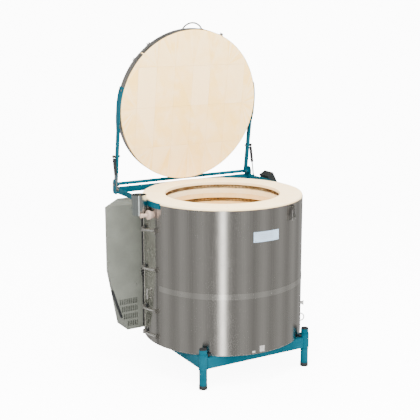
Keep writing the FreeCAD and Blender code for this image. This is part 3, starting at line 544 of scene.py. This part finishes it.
# ---- rivets and screws ----------------------------------------------------------------
PLATE_RIVET = ((0, 0.0022), (0.0008, 0.0021), (0.0014, 0.0010))
BAND_RIVET = ((0, 0.004), (0.0012, 0.0036), (0.0020, 0.0018))
BAND_Z = 0.4905
parts = []
for phi in (-8.0, 9.0):
    for z in (plate_low.z + 0.006, plate_high.z - 0.006):
        parts.append(lathe(PLATE_RIVET, around(0.4412, phi, z), outward(phi), 12))
for phi in range(-60, 200, 65):
    parts.append(lathe(BAND_RIVET, around(jacket_r + 0.0006, phi, BAND_Z), outward(phi), 14))
piece("jacket_rivets", *joined(parts), "kiln", "bright_steel")

cover_low, cover_high = (Vector(v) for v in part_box("switch_box_cover"))
COVER_SCREWS = (
    (-0.606, 0.885), (-0.606, 0.74), (-0.606, 0.60), (-0.475, 0.885),
    (-0.452, 0.45), (-0.452, 0.21), (-0.505, 0.21),
)
parts = [hex_head((x, cover_low.y, z), (0, -1, 0), 0.0038, 0.0026) for x, z in COVER_SCREWS]
piece("cover_screws", *joined(parts), "kiln", "box_paint")

# rubber edging where the cover meets the jacket, with a cable grommet part way up
edge_x = -math.sqrt(jacket_r ** 2 - cover_low.y ** 2)
edge_heights = np.linspace(cover_low.z + 0.012, cover_high.z - 0.010, 9)
edge_path = [(edge_x - 0.0032, cover_low.y - 0.0008, z) for z in edge_heights]
parts = [rod(edge_path, 0.0036, 10)]
grommet = [(0.0, 0.0), (0.0, 0.0075), (0.0050, 0.0085), (0.0095, 0.0085), (0.0120, 0.0060), (0.0125, 0.0)]
for z in (0.503, 0.518, 0.533):
    parts.append(lathe(grommet, (edge_x - 0.006, cover_low.y + 0.0005, z), (0.15, -1, 0), 16))
piece("cover_edging", *joined(parts), "kiln", "black_plastic")

# folded hem at the free end of the jacket sheet, and beside it a near-black strip that is painted shade along the
# hem's edge
# profiles as distance off the jacket and degrees round it
HEM = (
    (0.0000, -83.15), (0.0012, -83.05), (0.0015, -82.85),
    (0.0015, -82.55), (0.0008, -82.40), (0.0000, -82.35),
)
# profile of the near-black strip of painted shade beside the hem
HEM_SHADE_STRIP = ((0.0000, -83.62), (0.0006, -83.58), (0.0006, -83.20), (0.0000, -83.16))


def upright_strip(profile, z):
    rings = [np.array([around(jacket_r + r, a, h) for r, a in profile]) for h in z]
    return skin(rings)


hem_z = np.linspace(jacket_low.z + 0.0004, jacket_high.z - 0.0004, 7)
piece("jacket_hem", *upright_strip(HEM, hem_z), "kiln", "stainless", jacket_steel, smooth=False)
# painted shade: a dark strip standing for the shadow beside the hem
piece("jacket_hem_painted_shade", *upright_strip(HEM_SHADE_STRIP, hem_z), "kiln", "dark_trim", smooth=False)

# two small blank labels near the foot of the jacket
label_look = Look("blank_label", 0.5)
label_tones = ((0.3, (0.20, 0.19, 0.18)), (0.7, (0.34, 0.33, 0.31)))
label_look.color(label_look.ramp(label_look.noise(0.006, 3), label_tones))
label_look.bump(label_look.noise(0.003, 2), 0.00004)


def curved_label(phi, z, lift=0.0005, steps=6):
    verts = []
    for i in range(steps + 1):
        p = phi[0] + (phi[1] - phi[0]) * i / steps
        for r, h in ((0, z[0]), (lift, z[0] + 0.0004), (lift, z[1] - 0.0004), (0, z[1])):
            verts.append(around(jacket_r + r, p, h))
    faces = []
    for i in range(steps):
        for k in range(3):
            faces.append((4 * i + k, 4 * i + 4 + k, 4 * i + 5 + k, 4 * i + 1 + k))
    return verts, faces


parts = [curved_label((-4.2, -0.4), (0.178, 0.211)), curved_label((-9.8, -7.6), (0.177, 0.189))]
piece("jacket_labels", *joined(parts), "kiln", "plate_label", label_look, smooth=False)

SIDE_BAR_FACE, BOLT_Y = 0.4443, (0.06, 0.20, 0.33)
parts = []
for side, name in ((-1, "hinge_side_left"), (1, "hinge_side_right")):
    low, high = (Vector(v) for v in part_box(name))
    for y in BOLT_Y:
        parts.append(hex_head((side * SIDE_BAR_FACE, y, low.z + 0.0155), (side, 0, 0), 0.0060, 0.0042))
piece("side_bar_bolts", *joined(parts), "kiln", "frame_paint")


# ---- stage, light and camera ----------------------------------------------------------
floor_mat = Look("floor_paper", 0.9)
paper_tones = ((0.2, (0.90, 0.90, 0.90)), (0.8, (0.93, 0.93, 0.93)))
floor_mat.color(floor_mat.ramp(floor_mat.noise(0.9, 2), paper_tones))
# the paper glows for the camera only, so it stays pale without lighting the kiln
glow = floor_mat.node("Emission")
glow.inputs["Strength"].default_value = 9.0
sees = floor_mat.node("LightPath")
both = floor_mat.node("AddShader")
floor_mat.link(floor_mat.bsdf.outputs[0], both.inputs[0])
floor_mat.link(glow.outputs[0], both.inputs[1])
paper = either(floor_mat.tree, sees.outputs["Is Camera Ray"], floor_mat.bsdf.outputs[0], both.outputs[0])
floor_mat.link(paper, floor_mat.tree.nodes["Material Output"].inputs["Surface"])
# flat floor, a quarter round, then a wall
verts = []
profile = [(-9.0, 0.0), (4.2, 0.0)]
for i in range(1, 13):
    a = math.pi / 2 * i / 12
    profile.append((4.2 + 2.5 * math.sin(a), 2.5 - 2.5 * math.cos(a)))
profile.append((6.7, 9.0))
turn = math.radians(30.4)
for y, z in profile:
    for x in (-14.0, 14.0):
        verts.append((x * math.cos(turn) + y * math.sin(turn), y * math.cos(turn) - x * math.sin(turn), z))
faces = [(2 * i, 2 * i + 1, 2 * i + 3, 2 * i + 2) for i in range(len(profile) - 1)]
mesh = bpy.data.meshes.new("backdrop")
mesh.from_pydata(verts, [], faces)
mesh.materials.append(floor_mat.mat)
mesh.polygons.foreach_set("use_smooth", [True] * len(mesh.polygons))
backdrop = bpy.data.objects.new("backdrop", mesh)
scene.collection.objects.link(backdrop)
backdrop.visible_glossy = False

CAMERA_YAW, CAMERA_PITCH = 0.5302, -0.2094
CAMERA_AT = Vector((-2.5325, -4.2430, 1.9358))
camera_data = bpy.data.cameras.new("camera")
camera_data.sensor_width = 36.0
camera_data.lens = 78.7
camera_data.shift_x = -0.0124
camera_data.shift_y = -0.0140
camera_data.clip_end = 60
camera = bpy.data.objects.new("camera", camera_data)
scene.collection.objects.link(camera)
camera.location = CAMERA_AT
look_along = Vector((
    math.sin(CAMERA_YAW) * math.cos(CAMERA_PITCH),
    math.cos(CAMERA_YAW) * math.cos(CAMERA_PITCH),
    math.sin(CAMERA_PITCH),
))
camera.rotation_euler = look_along.to_track_quat("-Z", "Y").to_euler()
scene.camera = camera


def softbox(name, at, aim, size, power):
    data = bpy.data.lights.new(name, "AREA")
    data.shape = "RECTANGLE"
    data.size, data.size_y = size
    data.energy = power
    obj = bpy.data.objects.new(name, data)
    scene.collection.objects.link(obj)
    obj.location = at
    obj.rotation_euler = (Vector(aim) - Vector(at)).to_track_quat("-Z", "Y").to_euler()
    obj.visible_glossy = False


softbox("key", (-3.4, -3.2, 3.6), (0, 0, 0.9), (2.6, 2.6), 300)
softbox("fill", (3.6, -3.0, 2.2), (0, 0, 0.8), (2.6, 2.6), 150)
softbox("low", (0.6, -4.6, 0.9), (0, -0.2, 0.3), (2.4, 1.2), 85)
softbox("top", (0, 0.2, 4.6), (0, 0, 0.8), (3.0, 3.0), 190)
softbox("chamber", (-0.5, -1.0, 3.2), (0, 0.1, 0.8), (1.0, 1.0), 75)

# a room of upright soft strips, seen only as reflections
world = bpy.data.worlds.new("studio")
scene.world = world
world.use_nodes = True
world.cycles.sampling_method = "NONE"
tree = world.node_tree
tree.nodes.clear()


def world_node(kind, **props):
    made = tree.nodes.new("ShaderNode" + kind)
    for key, value in props.items():
        setattr(made, key, value)
    return made


def background(strength):
    made = world_node("Background")
    made.inputs["Color"].default_value = (1, 1, 1, 1)
    made.inputs["Strength"].default_value = strength
    return made


# direction round the room, 0 to 1
split = world_node("SeparateXYZ")
tree.links.new(world_node("TexCoord").outputs["Generated"], split.inputs[0])
flip = world_node("Math", operation="MULTIPLY")
flip.inputs[1].default_value = -1.0
tree.links.new(split.outputs["Y"], flip.inputs[0])
angle = world_node("Math", operation="ARCTAN2")
tree.links.new(split.outputs["X"], angle.inputs[0])
tree.links.new(flip.outputs[0], angle.inputs[1])
place = world_node("MapRange")
place.inputs["From Min"].default_value = -math.pi
place.inputs["From Max"].default_value = math.pi
tree.links.new(angle.outputs[0], place.inputs["Value"])

# a ring of evenly spaced strip lights with dark gaps between, and one bright strip in front
FRONT_PHI = -30.0
STRIP_COUNT = 12
STRIP_LEVEL, GAP_LEVEL, BRIGHT_LEVEL = 0.50, 0.28, 5.0
BRIGHT_HALF_WIDTH = 6.0
ROOM_TINT = (1.0, 0.985, 0.95)
spacing = 360.0 / STRIP_COUNT
levels = [(k * spacing, STRIP_LEVEL) for k in range(1, STRIP_COUNT)]
levels += [((k + 0.5) * spacing, GAP_LEVEL) for k in range(STRIP_COUNT)]
levels += [(0.0, BRIGHT_LEVEL), (BRIGHT_HALF_WIDTH, STRIP_LEVEL), (-BRIGHT_HALF_WIDTH, STRIP_LEVEL)]
points = sorted((((turn + FRONT_PHI + 180.0) % 360.0) / 360.0, value) for turn, value in levels)
strips = world_node("ValToRGB")
fill_ramp(strips, [(pos, tuple(value * tint for tint in ROOM_TINT)) for pos, value in points])
tree.links.new(place.outputs["Result"], strips.inputs["Fac"])

# plain light for everything, strips for reflections, and white for the camera
plain, room, shown = background(2.5), background(1.0), background(14.0)
tree.links.new(strips.outputs["Color"], room.inputs["Color"])
path = world_node("LightPath")
lit = either(tree, path.outputs["Is Glossy Ray"], plain.outputs[0], room.outputs[0])
seen = either(tree, path.outputs["Is Camera Ray"], lit, shown.outputs[0])
tree.links.new(seen, world_node("OutputWorld").inputs["Surface"])
